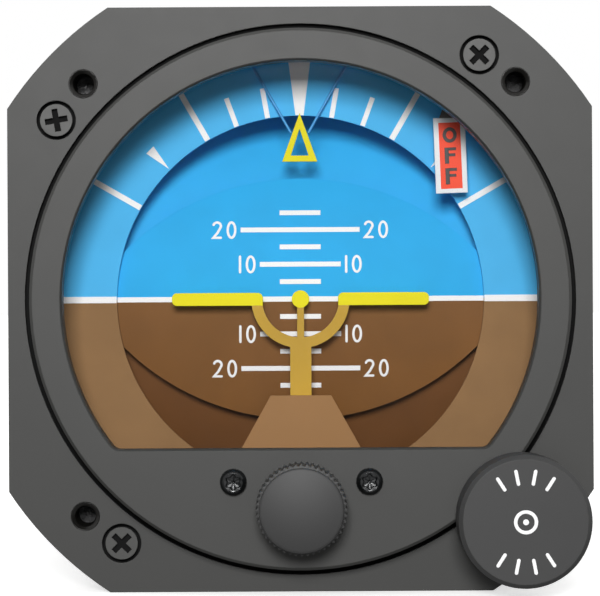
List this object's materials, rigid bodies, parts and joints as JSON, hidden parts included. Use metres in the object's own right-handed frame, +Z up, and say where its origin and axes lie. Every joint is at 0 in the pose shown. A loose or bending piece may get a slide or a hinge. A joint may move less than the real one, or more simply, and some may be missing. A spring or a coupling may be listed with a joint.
{
  "type": "attitude indicator",
  "caption": "Panel-mounted electric attitude indicator: D-shaped window, bank ring, curved pitch card, fixed index, miniature aircraft with a set knob, warning flag and caging knob.",
  "frame": {"origin": "on the instrument's axis, in the plane where the flange meets the panel", "axes": "+X right as seen from the front, +Y from the dial to the rear connector, +Z up"},
  "size_m": [0.085, 0.1921, 0.085],
  "materials": {
    "bezel_paint": "satin dark grey paint over a casting",
    "glass": "clear, anti-glare",
    "gasket": "matt black",
    "black_metal": "black oxide",
    "steel": "plain turned steel",
    "bearing_steel": "ground and polished",
    "yellow_paint": "matt yellow paint",
    "wire_paint": "sky blue enamel",
    "brass": "plain",
    "knob_grey": "dark grey satin paint",
    "mask_paint": "matt brown paint",
    "flag_paint": "matt white with a red field",
    "case_metal": "black crackle paint",
    "frame_metal": "machined",
    "dial_paint": "matt sky blue over brown",
    "insulator": "moulded phenolic",
    "board": "green laminate",
    "contact_gold": "gold flash",
    "rotor_metal": "dense turned alloy"
  },
  "bodies": {
    "housing": {"bezel": "bezel_paint", "window_glass": "glass", "glass_gasket": "gasket", "glass_retainer": "black_metal", "mount_inserts": "steel", "flange_screws": "black_metal", "index_pointer": "yellow_paint", "pointer_hangers": "wire_paint", "knob_bushing": "brass", "adjuster_bracket": "frame_metal", "aircraft_mask": "mask_paint", "adjuster_screws": "black_metal", "flag_motor": "brass", "case_gasket": "gasket", "main_case": "case_metal", "rear_frame": "frame_metal", "rear_cover": "case_metal", "rear_screws": "black_metal", "connector_shell": "case_metal", "connector_insert": "insulator", "connector_pins": "contact_gold", "power_board": "board", "brush_block": "insulator", "brushes": "contact_gold", "roll_bearing_outers": "bearing_steel", "cage_bush": "brass", "cage_spring": "steel"},
    "roll_gimbal": {"bank_ring": "dial_paint", "roll_drum": "frame_metal", "backdrop": "dial_paint", "gimbal_yoke": "frame_metal", "pitch_bearings": "bearing_steel", "card_pivots": "steel", "roll_spindle": "steel", "roll_cam": "brass", "slip_rings": "contact_gold", "roll_bearing_inners": "bearing_steel"},
    "gyro": {"rotor_case": "frame_metal", "rotor_cover": "frame_metal", "trunnions": "steel", "pitch_gear": "brass", "stator": "steel", "erector": "steel"},
    "gyro_rotor": {"rotor": "rotor_metal", "rotor_shaft": "steel"},
    "card": {"pitch_card": "dial_paint", "card_arm_right": "frame_metal", "card_arm_left": "frame_metal", "card_gear": "brass", "card_weights": "brass"},
    "aircraft": {"aircraft_wings": "yellow_paint", "aircraft_post": "brass"},
    "small_knob": {"adjust_knob": "knob_grey", "adjust_shaft": "steel"},
    "flag": {"off_flag": "flag_paint", "flag_shaft": "steel"},
    "cage_control": {"cage_knob": "knob_grey", "cage_rod": "steel", "cage_fork": "steel", "cage_roller": "brass"}
  },
  "joints": [
    {"name": "roll_turn", "type": "hinge", "parent": "housing", "child": "roll_gimbal", "pos_m": [0, 0.12, 0], "axis": [0, 1, 0], "continuous": true},
    {"name": "pitch_tilt", "type": "hinge", "parent": "roll_gimbal", "child": "gyro", "pos_m": [0, 0.0596, 0], "axis": [1, 0, 0], "range_deg": [-35, 35]},
    {"name": "card_tilt", "type": "hinge", "parent": "roll_gimbal", "child": "card", "pos_m": [0, 0.0716, 0], "axis": [1, 0, 0], "range_deg": [-17.6, 17.6]},
    {"name": "rotor_spin", "type": "hinge", "parent": "gyro", "child": "gyro_rotor", "pos_m": [0, 0.0596, 0], "axis": [0, 0, 1], "continuous": true},
    {"name": "symbol_knob_turn", "type": "hinge", "parent": "housing", "child": "small_knob", "pos_m": [0, 0, -0.0297], "axis": [0, -1, 0], "range_deg": [-61.45, 61.45]},
    {"name": "symbol_lift", "type": "slide", "parent": "housing", "child": "aircraft", "axis": [0, 0, 1], "range_m": [-0.003, 0.003]},
    {"name": "flag_swing", "type": "hinge", "parent": "housing", "child": "flag", "pos_m": [0.0236, 0.0075, 0.0316], "axis": [0, -1, 0], "range_deg": [0, 50], "stiffness_Nm_per_rad": 0.00005, "springref_deg": -11.46},
    {"name": "cage_pull", "type": "slide", "parent": "housing", "child": "cage_control", "axis": [0, -1, 0], "range_m": [0, 0.007], "stiffness_N_per_m": 300, "springref_m": -0.01, "deforming": ["cage_spring"]}
  ],
  "couplings": [
    {"joint": "card_tilt", "follows": "pitch_tilt", "ratio": -0.5},
    {"joint": "symbol_knob_turn", "follows": "symbol_lift", "rad_per_m": 357.14}
  ]
}
